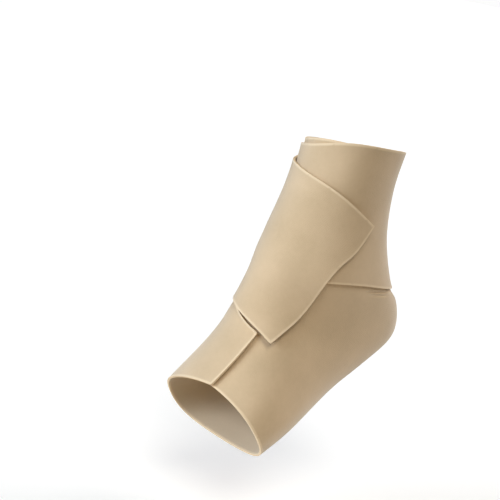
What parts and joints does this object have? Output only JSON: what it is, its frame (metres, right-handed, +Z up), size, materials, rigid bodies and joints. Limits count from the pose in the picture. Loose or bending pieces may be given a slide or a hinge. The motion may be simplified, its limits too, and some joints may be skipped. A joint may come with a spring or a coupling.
{
  "type": "foot compression wrap",
  "caption": "Soft boot-shaped wrap with an open toe that compresses foot and ankle, its cloth lapped over the instep and held by a slanting ankle strap.",
  "frame": {"origin": "middle of the ankle's hollow, where an ankle sits in the wrap", "axes": "+Z up the ankle towards the top rim, +X towards the toe opening, +Y to the outer side of a left foot"},
  "size_m": [0.1633, 0.0995, 0.2314],
  "materials": {
    "wrap_cloth": "matt brushed loop cloth, laminated, in beige",
    "hook_tape": "fine moulded hook tape in darker beige"
  },
  "bodies": {
    "root": {"foot_wrap": "wrap_cloth", "ankle_band": "wrap_cloth", "foot_hook_tab": "hook_tape", "ankle_hook_tab": "hook_tape"}
  },
  "joints": []
}
